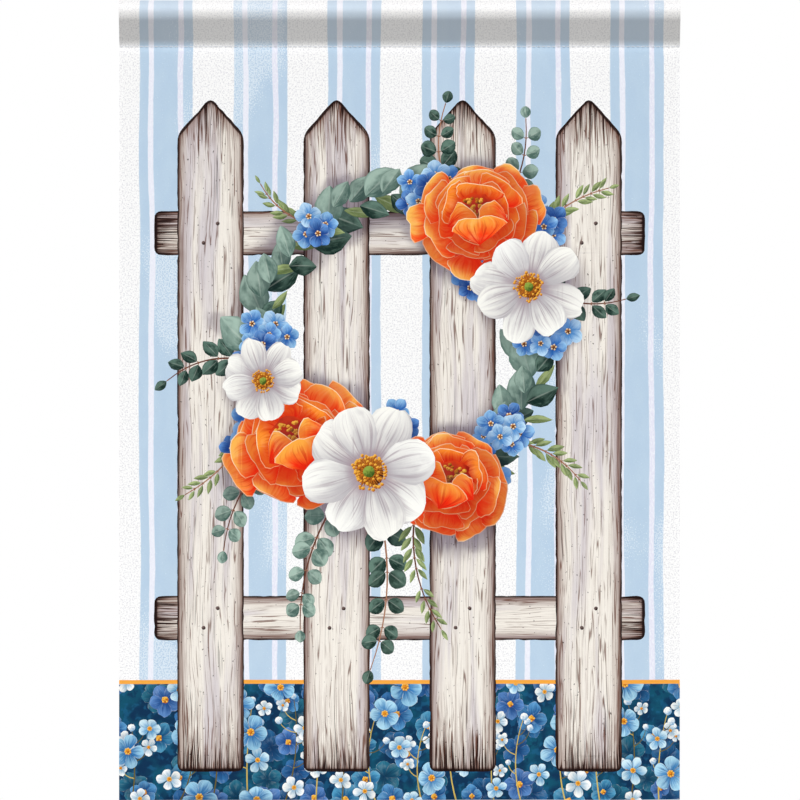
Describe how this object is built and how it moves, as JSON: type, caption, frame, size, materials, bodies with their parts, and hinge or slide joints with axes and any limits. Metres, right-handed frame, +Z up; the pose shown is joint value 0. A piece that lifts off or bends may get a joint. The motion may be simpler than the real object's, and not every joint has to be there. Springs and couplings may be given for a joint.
{
  "type": "garden flag",
  "caption": "Upright printed cloth garden flag with a sewn rod sleeve along its top edge, hanging straight with slight slack flutes.",
  "frame": {"origin": "middle of the sleeve's top edge, where the rod of a flag stand holds the flag up", "axes": "+Z up, +X along the sleeve to the right as seen from the front, printed front faces -Y"},
  "size_m": [0.3174, 0.013, 0.453],
  "materials": {
    "printed_cloth": "matt woven polyester, dye printed with pale blue and white stripes, flowers and a deep blue flowered band",
    "thread": "white polyester sewing thread along the sleeve seam"
  },
  "bodies": {
    "root": {"flag_panel": "printed_cloth", "rod_sleeve": "printed_cloth"}
  },
  "joints": []
}
